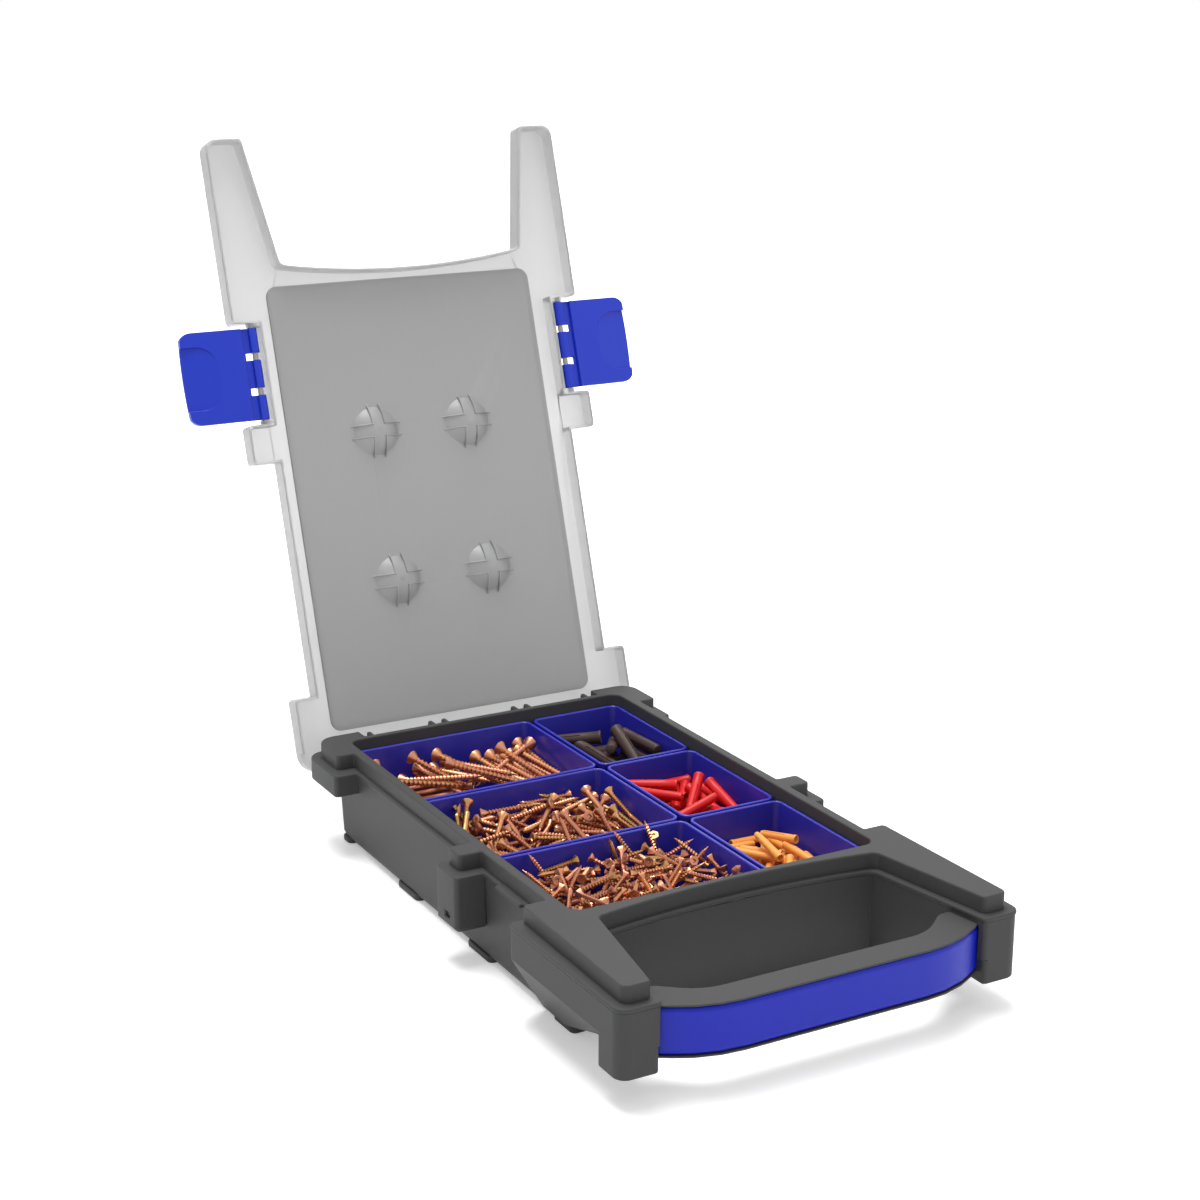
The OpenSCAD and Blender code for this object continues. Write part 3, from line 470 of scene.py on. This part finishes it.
# The heaps: the loose pieces that lie on the stacked ones of each bin, in the case's own frame.
# "set" holds the pieces that lie on top as in the photograph: head, then tip.
heaps = {
    "heapScrewsLarge": {
        "bin": "bin_large_back", "slot": "screw_metal", "look": "screwGold", "mesh": ("screw", "large"),
        "seed": 4, "count": 24, "flip": 0.0, "olive": 0.6, "length": 72, "head": 5.0, "neck": 5.0,
        "shank": 2.5, "floor": -33.4, "rise": 22, "heading": -72, "spread": 14, "tilt": 0.08,
        "set": [
            ((-48.9, -15.2, -15.0), (-21.5, -81.6, -22.0)), ((20.0, -27.6, -14.5), (-40.0, -62.7, -24.0)),
            ((-21.2, -21.4, -19.5), (-7.8, -91.8, -26.0)), ((-11.9, -25.6, -19.0), (3.5, -95.6, -25.0)),
            ((10.4, -26.7, -19.0), (24.0, -96.9, -25.0)), ((-62.8, -14.7, -22.5), (-50.8, -83.4, -27.0)),
            ((-45.6, -69.1, -21.0), (-98.3, -26.3, -22.0)),
        ]},
    "heapScrewsMedium": {
        "bin": "bin_large_middle", "slot": "screw_metal", "look": "screwGold", "mesh": ("screw", "medium"),
        "seed": 7, "count": 72, "flip": 0.35, "olive": 0.85, "length": 40, "head": 4.0, "neck": 3.8,
        "shank": 2.0, "floor": -31.2, "rise": 24, "heading": -75, "spread": 48, "tilt": 0.22,
        "set": [
            ((-69.0, -127.0, -17.0), (-32.8, -142.6, -11.0)), ((-4.6, -143.3, -21.0), (-43.6, -120.1, -14.5)),
            ((13.1, -149.7, -13.5), (-17.6, -170.0, -24.1)), ((8.8, -143.9, -20.5), (-22.1, -124.1, -13.5)),
            ((22.0, -137.4, -14.0), (24.6, -174.3, -26.0)), ((-55.3, -136.5, -19.0), (-59.3, -175.8, -25.0)),
            ((-63.3, -123.3, -21.0), (-65.4, -163.0, -27.0)), ((-79.4, -139.1, -24.0), (-79.8, -118.2, -18.0)),
        ]},
    "heapScrewsSmall": {
        "bin": "bin_large_front", "slot": "screw_metal", "look": "screwGold", "mesh": ("screw", "small"),
        "seed": 11, "count": 104, "flip": 0.5, "olive": 0.85, "length": 28, "head": 3.5, "neck": 3.4,
        "shank": 1.75, "floor": -27.9, "rise": 22, "heading": -60, "spread": 75, "tilt": 0.45,
        "set": [
            ((-0.6, -240.2, -23.0), (20.7, -248.6, -8.5)), ((24.4, -261.7, -22.0), (8.9, -247.0, -6.5)),
            ((-44.5, -230.7, -14.0), (-24.7, -243.4, -27.0)), ((6.0, -224.7, -11.0), (13.5, -213.1, -35.0)),
            ((25.0, -262.0, -17.0), (27.0, -287.3, -26.0)), ((-17.2, -220.5, -30.0), (-27.8, -226.4, -7.0)),
            ((-9.8, -233.5, -25.0), (-17.0, -221.0, -11.0)), ((-8.5, -248.1, -19.0), (-6.4, -274.9, -28.0)),
            ((6.0, -232.2, -26.0), (2.9, -222.6, -8.0)), ((-73.9, -240.0, -26.0), (-81.4, -223.8, -10.0)),
            ((-80.2, -252.0, -25.0), (-90.6, -228.6, -14.0)), ((20.5, -284.0, -13.5), (24.5, -296.0, -35.0)),
        ]},
    "heapPlugsBrown": {
        "bin": "bin_small_back", "slot": "plugs_brown", "look": "plugBrown", "mesh": ("plug", "brown"),
        "seed": 3, "count": 8, "flip": 0.3, "length": 50, "head": 5.0, "neck": 1.0,
        "shank": 4.8, "floor": -33.4, "rise": 20, "heading": -95, "spread": 30, "tilt": 0.15,
        "set": [
            ((73.3, -36.0, -17.0), (42.9, -17.0, -20.5)), ((86.0, -35.7, -13.5), (77.9, -83.7, -24.0)),
            ((58.2, -24.9, -22.0), (66.0, -74.1, -27.0)),
        ]},
    "heapPlugsRed": {
        "bin": "bin_small_middle", "slot": "plugs_red", "look": "plugRed", "mesh": ("plug", "red"),
        "seed": 5, "count": 11, "flip": 0.3, "length": 40, "head": 4.0, "neck": 1.0,
        "shank": 3.8, "floor": -31.2, "rise": 18, "heading": -80, "spread": 45, "tilt": 0.2,
        "set": [
            ((72.3, -144.3, -17.0), (41.7, -120.7, -18.5)), ((90.0, -156.5, -13.5), (91.0, -194.3, -24.0)),
            ((64.5, -142.6, -24.5), (43.9, -117.5, -25.0)), ((72.6, -154.5, -23.0), (55.4, -121.0, -25.0)),
            ((82.8, -142.5, -21.5), (84.2, -181.1, -26.5)),
        ]},
    "heapPlugsOrange": {
        "bin": "bin_small_front", "slot": "plugs_orange", "look": "plugOrange", "mesh": ("plug", "orange"),
        "seed": 9, "count": 22, "flip": 0.3, "length": 28, "head": 3.0, "neck": 1.0,
        "shank": 2.9, "floor": -32.8, "rise": 18, "heading": -85, "spread": 45, "tilt": 0.25,
        "set": [
            ((68.2, -277.2, -20.5), (67.4, -250.3, -13.5)), ((88.2, -265.6, -16.0), (78.4, -239.9, -19.0)),
            ((84.3, -258.6, -21.0), (88.6, -286.0, -24.5)),
        ]},
}
settling = {
    "steps": 110, "rounds": 5,  # how often the pieces drop, and how often each drop pushes them apart
    "fall": 0.55, "calmFrom": 0.75, "calm": 0.25,  # mm for each drop, and less in the last quarter
    "wall": 3.2, "corner": 5.4, "leastRoom": 0.2,  # the bin's wall and its inner corners
    "headAt": 0.3, "headReach": 0.92,  # where on its neck a head pushes, and how wide it is there
    "parallel": 0.02, "loosen": 0.6, "tiny": 1e-6,
    "highest": -9.5,  # a loose piece that was squeezed out above this is left out
}


def scatterHeap(heap, boxLow, boxHigh):  # the head end and the tip of each piece before they fall
    rng = numpy.random.default_rng(heap["seed"])
    fixed = len(heap["set"])
    count = heap["count"] + fixed
    turn = numpy.radians(heap["heading"] + rng.normal(0, heap["spread"], count))
    flip = rng.random(count) < heap["flip"]
    turn[flip] += math.pi
    aim = numpy.stack((numpy.cos(turn), numpy.sin(turn), rng.normal(0, heap["tilt"], count)), 1)
    aim /= numpy.linalg.norm(aim, axis=1, keepdims=True)
    half = aim * heap["length"] / 2
    reach = numpy.minimum(numpy.abs(half[:, :2]) - settling["corner"], (boxHigh - boxLow) / 2)
    middle = numpy.empty((count, 3))
    middle[:, :2] = boxLow + reach + rng.random((count, 2)) * (boxHigh - boxLow - 2 * reach)
    middle[:, 2] = heap["floor"] + heap["head"] + heap["rise"] * numpy.arange(count)[::-1] / count
    ends = numpy.stack((middle - half, middle + half), 1)
    ends[:fixed] = heap["set"]
    return ends


def nearestShares(p, u, q, v):  # how far along two rods, from 0 to 1, they come nearest
    w = p - q
    a, e = (u * u).sum(1), (v * v).sum(1)
    b, c, f = (u * v).sum(1), (u * w).sum(1), (v * w).sum(1)
    across = a * e - b * b
    slanted = across > settling["parallel"] * a * e
    s = numpy.where(slanted, (b * f - c * e) / numpy.maximum(across, settling["tiny"]), 0.5).clip(0, 1)
    t = ((b * s + f) / e).clip(0, 1)
    return ((b * t - c) / a).clip(0, 1), t


def apart(p, q):  # the direction from q to p, and the distance
    gap = p - q
    far = numpy.linalg.norm(gap, axis=1)
    return gap / numpy.maximum(far, settling["tiny"])[:, None], far


def settleHeap(heap):
    low, high = [(corner - caseOrigin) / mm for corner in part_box(heap["bin"])]
    corner = settling["corner"]
    inset = settling["wall"] + corner
    boxLow = numpy.array((low.x + inset, low.y + inset))
    boxHigh = numpy.array((high.x - inset, high.y - inset))
    ends = scatterHeap(heap, boxLow, boxHigh)
    long, shank, head, neck = [heap[key] for key in ("length", "shank", "head", "neck")]
    count, fixed = len(ends), len(heap["set"])
    held = numpy.ones(count)
    held[:fixed] = 0
    endR = numpy.array((head, shank))
    room = numpy.maximum(corner - endR, settling["leastRoom"])
    first, second = numpy.triu_indices(count, 1)
    headOf, other = numpy.nonzero(~numpy.eye(count, dtype=bool))
    slope = (head - shank) / (neck / long)
    headShare = neck * settling["headAt"] / long

    def radiusAt(s):
        return numpy.maximum(shank, head - slope * s)

    def push(i, s, j, t, gap, away):  # adds what would part each pair to move, and counts it in tally
        share = held[i] + held[j]
        need = numpy.where(gap > 0, gap, 0) / numpy.maximum(share, 1)
        for k, u, sign in ((i, s, 1), (j, t, -1)):
            size = (1 - u) ** 2 + u ** 2
            for end, w in ((0, 1 - u), (1, u)):
                numpy.add.at(move[:, end], k, away * (sign * need * held[k] * w / size)[:, None])
                numpy.add.at(tally[:, end], k, (need > 0) * held[k] * w)

    for step in range(settling["steps"]):
        calm = step >= settling["steps"] * settling["calmFrom"]
        ends[fixed:, :, 2] -= settling["fall"] * (settling["calm"] if calm else 1)
        for _ in range(settling["rounds"]):
            start, along = ends[:, 0], ends[:, 1] - ends[:, 0]
            p, u, q, v = start[first], along[first], start[second], along[second]
            s, t = nearestShares(p, u, q, v)
            away, far = apart(p + u * s[:, None], q + v * t[:, None])
            move = numpy.zeros((count, 2, 3))
            tally = numpy.zeros((count, 2))
            push(first, s, second, t, radiusAt(s) + radiusAt(t) - far, away)
            tops = start[headOf] + along[headOf] * headShare
            t = (((tops - start[other]) * along[other]).sum(1) / (along[other] ** 2).sum(1)).clip(0, 1)
            away, far = apart(tops, start[other] + along[other] * t[:, None])
            reach = head * settling["headReach"] + radiusAt(t)
            push(headOf, numpy.full(len(t), headShare), other, t, reach - far, away)
            ends += move / numpy.maximum(tally * settling["loosen"], 1)[:, :, None]
            flat = ends[fixed:, :, :2]  # each end stays within the bin's walls, round its corners too
            inside = flat.clip(boxLow, boxHigh)
            out = flat - inside
            size = numpy.maximum(numpy.linalg.norm(out, axis=2), settling["tiny"])
            ends[fixed:, :, :2] = inside + out * numpy.minimum(room / size, 1)[:, :, None]
            ends[fixed:, :, 2] = numpy.maximum(ends[fixed:, :, 2], heap["floor"] + endR)
            middle = ends.mean(1, keepdims=True)  # and each piece keeps its length
            half = ends - middle
            half *= (long / 2) / numpy.linalg.norm(half, axis=2, keepdims=True)
            ends[fixed:] = (middle + half)[fixed:]
    kept = ends[:, :, 2].max(1) < settling["highest"]
    kept[:fixed] = True
    return ends[kept]


templates = {("screw", kind): makeScrew(kind) for kind in screwKinds}
templates.update({("plug", kind): makePlug(kind) for kind in plugKinds})


def finishPiece(name, bm, look, body):
    mesh = bpy.data.meshes.new(name)
    bm.to_mesh(mesh)
    bm.free()
    mesh.materials.append(materials[look])
    obj = bpy.data.objects.new(name, mesh)
    bpy.context.scene.collection.objects.link(obj)
    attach(obj, body)
    return obj


laying = {"seedStep": 100, "copper": 1.5}  # the power that makes most screws lean to the copper end


def layHeap(name):
    heap = heaps[name]
    ends = settleHeap(heap)
    rng = numpy.random.default_rng(heap["seed"] + laying["seedStep"])
    bm = bmesh.new()
    tint = bm.verts.layers.float.new("tint")
    for head, tip in ends:
        known = len(bm.verts)
        bm.from_mesh(templates[heap["mesh"]])
        bm.verts.ensure_lookup_table()
        verts = bm.verts[known:]
        roll = Matrix.Rotation(rng.random() * math.tau, 3, "Z").to_quaternion()
        turn = Vector((0, 0, 1)).rotation_difference(Vector(tip - head).normalized()) @ roll
        place = Matrix.Translation(Vector(head)) @ turn.to_matrix().to_4x4()
        bmesh.ops.transform(bm, matrix=place, verts=verts)
        value = rng.random() ** laying["copper"] * heap.get("olive", 1)
        for v in verts:
            v[tint] = value
    bmesh.ops.transform(bm, matrix=caseMatrix(), verts=bm.verts)
    finishPiece(name, bm, heap["look"], heap["bin"])
    tops = ends[:, :, 2].max(1)
    print(name, len(ends), "pieces, tops", round(float(numpy.median(tops)), 1), round(float(tops.max()), 1))


for name in heaps:
    layHeap(name)

# The bins, made anew with a rounded lip; the drafts and radii are the ones of the model
binNodes = ("bin_large_back", "bin_large_middle", "bin_large_front",
            "bin_small_back", "bin_small_middle", "bin_small_front")
binShape = {
    "lip": 0.7, "rim": 2.1, "lipDrop": 4, "lipEdge": 0.01, "draft": 2.4, "floor": 1.6,
    "corner": 5.8, "cornerSteps": 6, "round": 0.8, "floorRound": 3, "roundSteps": 3,
    "nearRim": 0.001, "nearFloor": 0.1, "sharp": 0.5, "smooth": 50,
}


def makeBin(node, name):
    look = binShape
    low, high = [(corner - caseOrigin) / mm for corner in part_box(node)]
    size = high - low
    middle = (high + low) / 2
    tall = size.z
    bm = bmesh.new()
    grid = bmesh.ops.create_grid(bm, x_segments=1, y_segments=1, size=0.5)
    bmesh.ops.scale(bm, vec=(size.x + 2 * look["lip"], size.y + 2 * look["lip"], 1), verts=grid["verts"])
    bmesh.ops.bevel(bm, geom=bm.verts[:], offset=look["corner"] + look["lip"], affect="VERTICES",
                    segments=look["cornerSteps"], profile=0.5, material=-1)
    top = next(iter(bm.faces))
    if top.normal.z < 0:
        bmesh.ops.reverse_faces(bm, faces=[top])
    bmesh.ops.inset_region(bm, faces=[top], thickness=look["rim"], use_even_offset=True, use_boundary=True)
    well = max(bm.faces, key=lambda f: len(f.verts))
    outer = [e for e in bm.edges if e.is_boundary]

    def step(edges, drop, shrink):  # one more ring of faces, lower and further in
        new = bmesh.ops.extrude_edge_only(bm, edges=edges)["geom"]
        verts = [v for v in new if isinstance(v, bmesh.types.BMVert)]
        wide = max(abs(v.co.x) for v in verts)
        deep = max(abs(v.co.y) for v in verts)
        bmesh.ops.scale(bm, vec=((wide - shrink) / wide, (deep - shrink) / deep, 1), verts=verts)
        bmesh.ops.translate(bm, vec=(0, 0, -drop), verts=verts)
        return [e for e in new if isinstance(e, bmesh.types.BMEdge)]

    def roundOff(edges, radius):
        edges = [e for e in edges if e.calc_face_angle(0) > look["sharp"]]
        bmesh.ops.bevel(bm, geom=edges, offset=radius, affect="EDGES", segments=look["roundSteps"],
                        profile=0.5, material=-1)

    wellEdges = well.edges[:]
    bmesh.ops.delete(bm, geom=[well], context="FACES_ONLY")
    inside = step(wellEdges, tall - look["floor"], look["draft"])
    bmesh.ops.contextual_create(bm, geom=inside)
    side = step(outer, look["lipDrop"], 0)
    side = step(side, look["lipEdge"], look["lip"])
    skirt = tall - look["lipDrop"]
    side = step(side, skirt - look["lipEdge"], look["draft"] * skirt / tall)
    bmesh.ops.contextual_create(bm, geom=side)
    bmesh.ops.recalc_face_normals(bm, faces=bm.faces)
    roundOff([e for e in bm.edges if min(v.co.z for v in e.verts) > -look["nearRim"]], look["round"])
    foot = look["floor"] + look["nearFloor"] - tall
    roundOff([e for e in bm.edges if max(v.co.z for v in e.verts) < foot], look["floorRound"])
    softenFaces(bm, look["smooth"])
    for face in bm.faces:  # the lip's top faces take a lighter copy of the blue, a painted highlight where the rim faces up to the lamps
        if face.calc_center_median().z > -look["round"]:
            face.material_index = 1
    bmesh.ops.translate(bm, vec=(middle.x, middle.y, high.z), verts=bm.verts)
    bmesh.ops.transform(bm, matrix=caseMatrix(), verts=bm.verts)
    obj = finishPiece(name, bm, "binBlue", node)
    # second slot: the lighter blue that paints a highlight on the lip's top
    obj.data.materials.append(materials["binRimPaintedHighlight"])
    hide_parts(node)
    print(name, len(obj.data.polygons), "faces")


for node in binNodes:
    makeBin(node, "rounded_" + node)

# Moulded pieces: a merged copy of the model's piece, with its edges softened as a mould leaves them
softening = {
    "merge": 0.004, "cutWidth": 0.001, "flat": 0.4,  # mm, mm and degrees, when faces are joined
    "coplanar": 0.5, "under": -0.5,  # which faces are split again
    "sharp": 32, "leastRoom": 0.8, "roomShare": 2.4,  # which edges are softened, and how far
    "smooth": 30, "largeFace": 150,  # faces above this many square mm stay flat
}


def mergedCopy(node, cuts):
    bm = bmesh.new()
    bm.from_mesh(nodes[node].data)
    bmesh.ops.transform(bm, matrix=caseMatrix().inverted(), verts=bm.verts)
    bmesh.ops.remove_doubles(bm, verts=bm.verts, dist=softening["merge"])
    bmesh.ops.dissolve_degenerate(bm, dist=softening["merge"], edges=bm.edges)
    for place, across in cuts:  # faces that run round an opening are kept in parts
        parts = bmesh.ops.bisect_plane(bm, geom=bm.verts[:] + bm.edges[:] + bm.faces[:],
                                       dist=softening["cutWidth"], plane_co=place, plane_no=across)
        for part in parts["geom_cut"]:
            if isinstance(part, bmesh.types.BMEdge):
                part.seam = True
    bmesh.ops.dissolve_limit(bm, angle_limit=math.radians(softening["flat"]), verts=bm.verts, edges=bm.edges,
                             delimit={"NORMAL", "SEAM"})
    return bm


def splitHoled(bm):  # faces with a hole in them, and undersides, are split into plain ones
    coplanar = math.radians(softening["coplanar"])
    holed = {f for e in bm.edges if len(e.link_faces) == 2 and not e.seam and e.calc_face_angle(0) < coplanar
             for f in e.link_faces}
    holed.update(f for f in bm.faces if f.normal.z < softening["under"])
    bmesh.ops.connect_verts_concave(bm, faces=list(holed))


def roomBeside(face, edge):  # how far a face reaches from one of its edges
    a, b = [v.co for v in edge.verts]
    along = (b - a).normalized()
    return max((v.co - a - along * (v.co - a).dot(along)).length for v in face.verts)


handleShape = {"back": -426, "root": -396, "top": -15.7, "low": -47.7, "near": 0.2}


def isHandleBack(edge):  # the handle's upper and lower back edges
    shape = handleShape
    level = [all(abs(v.co.z - shape[side]) < shape["near"] for v in edge.verts) for side in ("top", "low")]
    return any(level) and all(shape["back"] < v.co.y < shape["root"] for v in edge.verts)


gripEdges = {"sharp": 0.6, "front": -0.7, "level": 0.9}


def isGripFront(edge):  # the grip's two long front edges
    normals = [f.normal for f in edge.link_faces]
    return (edge.calc_face_angle(0) > gripEdges["sharp"] and any(n.y < gripEdges["front"] for n in normals)
            and any(abs(n.z) > gripEdges["level"] for n in normals))


def softShare(edge, look):  # an edge's share of the piece's widest softening
    node = look["node"]
    if node == "handle_grip":
        return 1 if isGripFront(edge) else 0
    if (len(edge.link_faces) != 2 or not edge.is_convex
            or edge.calc_face_angle(0) < math.radians(softening["sharp"])):
        return 0
    if node == "base_tray" and isHandleBack(edge):
        return 1
    room = min(roomBeside(face, edge) for face in edge.link_faces)
    if room <= softening["leastRoom"]:
        return 0
    return min(look["width"], room / softening["roomShare"]) / look.get("widest", look["width"])


lidPanel = {"side": 106, "front": -330, "back": -3, "top": 4, "facing": 0.3}  # in the shut lid


def markPanel(bm):  # the lid's panel is matt, its flange and skirt are clearer
    shut = lidMatrix().inverted() @ caseMatrix()
    for face in bm.faces:
        spots = [shut @ v.co for v in face.verts]
        within = all(abs(p.x) < lidPanel["side"] and lidPanel["front"] < p.y < lidPanel["back"]
                     and p.z < lidPanel["top"] for p in spots)
        if within and (shut.to_3x3() @ face.normal).z < lidPanel["facing"]:
            face.material_index = 1


moulded = {
    "soft_tray": {"node": "base_tray", "body": "case", "slot": "grey_plastic", "looks": ["greyPlastic"],
                  "width": 1.1, "widest": 3, "segments": 3,
                  "cuts": [((0, 0, 0), (1, 0, 0)), ((0, -165, 0), (0, 1, 0))]},
    "soft_lid": {"node": "lid", "body": "lid", "slot": "clear_plastic", "looks": ["lidClear", "lidPanel"],
                 "width": 0.6, "segments": 3},
    "soft_latch_left": {"node": "latch_left", "body": "latch_left", "slot": "latch_blue",
                        "looks": ["latchBlue"], "width": 0.6, "segments": 3},
    "soft_latch_right": {"node": "latch_right", "body": "latch_right", "slot": "latch_blue",
                         "looks": ["latchBlue"], "width": 0.6, "segments": 3},
    "soft_grip": {"node": "handle_grip", "body": "case", "slot": "blue_grip", "looks": ["gripBlue"],
                  "width": 3.2, "segments": 5},
}


def softEdges(obj, look):
    mod = obj.modifiers.new("softEdges", "BEVEL")
    mod.width = look.get("widest", look["width"]) * mm
    mod.segments = look["segments"]
    mod.limit_method = "WEIGHT"
    mod.use_clamp_overlap = False
    mod.miter_outer = "MITER_ARC"
    mod.harden_normals = False
    mod.material = -1


def makeMoulded(name):
    look = moulded[name]
    bm = mergedCopy(look["node"], look.get("cuts", []))
    if look["node"] == "lid":
        markPanel(bm)
    weight = bm.edges.layers.float.new("bevel_weight_edge")
    for edge in bm.edges:
        edge[weight] = softShare(edge, look)
    splitHoled(bm)
    softenFaces(bm, softening["smooth"])
    for face in bm.faces:
        if face.calc_area() > softening["largeFace"] and len(face.verts) > 4:
            face.smooth = False
    bmesh.ops.transform(bm, matrix=caseMatrix(), verts=bm.verts)
    obj = finishPiece(name, bm, look["looks"][0], look["body"])
    for extra in look["looks"][1:]:
        obj.data.materials.append(materials[extra])
    softEdges(obj, look)
    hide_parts(look["node"])
    print(name, len(obj.data.polygons), "faces")


for name in moulded:
    makeMoulded(name)

nodeLooks = {
    "base_tray": "greyPlastic", "handle_grip": "gripBlue", "lid": "lidClear",
    "latch_left": "latchBlue", "latch_right": "latchBlue",
    "latch_pin_left": "pinPlastic", "latch_pin_right": "pinPlastic",
    "hinge_pin_left": "steel", "hinge_pin_right": "steel",
    "screws_large": "screwGold", "screws_medium": "screwGold", "screws_small": "screwGold",
    "plugs_brown": "plugBrown", "plugs_red": "plugRed", "plugs_orange": "plugOrange",
    **{node: "binBlue" for node in binNodes},
}
for node, look in nodeLooks.items():
    obj = nodes[node]
    obj.data.materials.clear()
    obj.data.materials.append(materials[look])
print("finishes laid on", len(nodeLooks), "nodes")
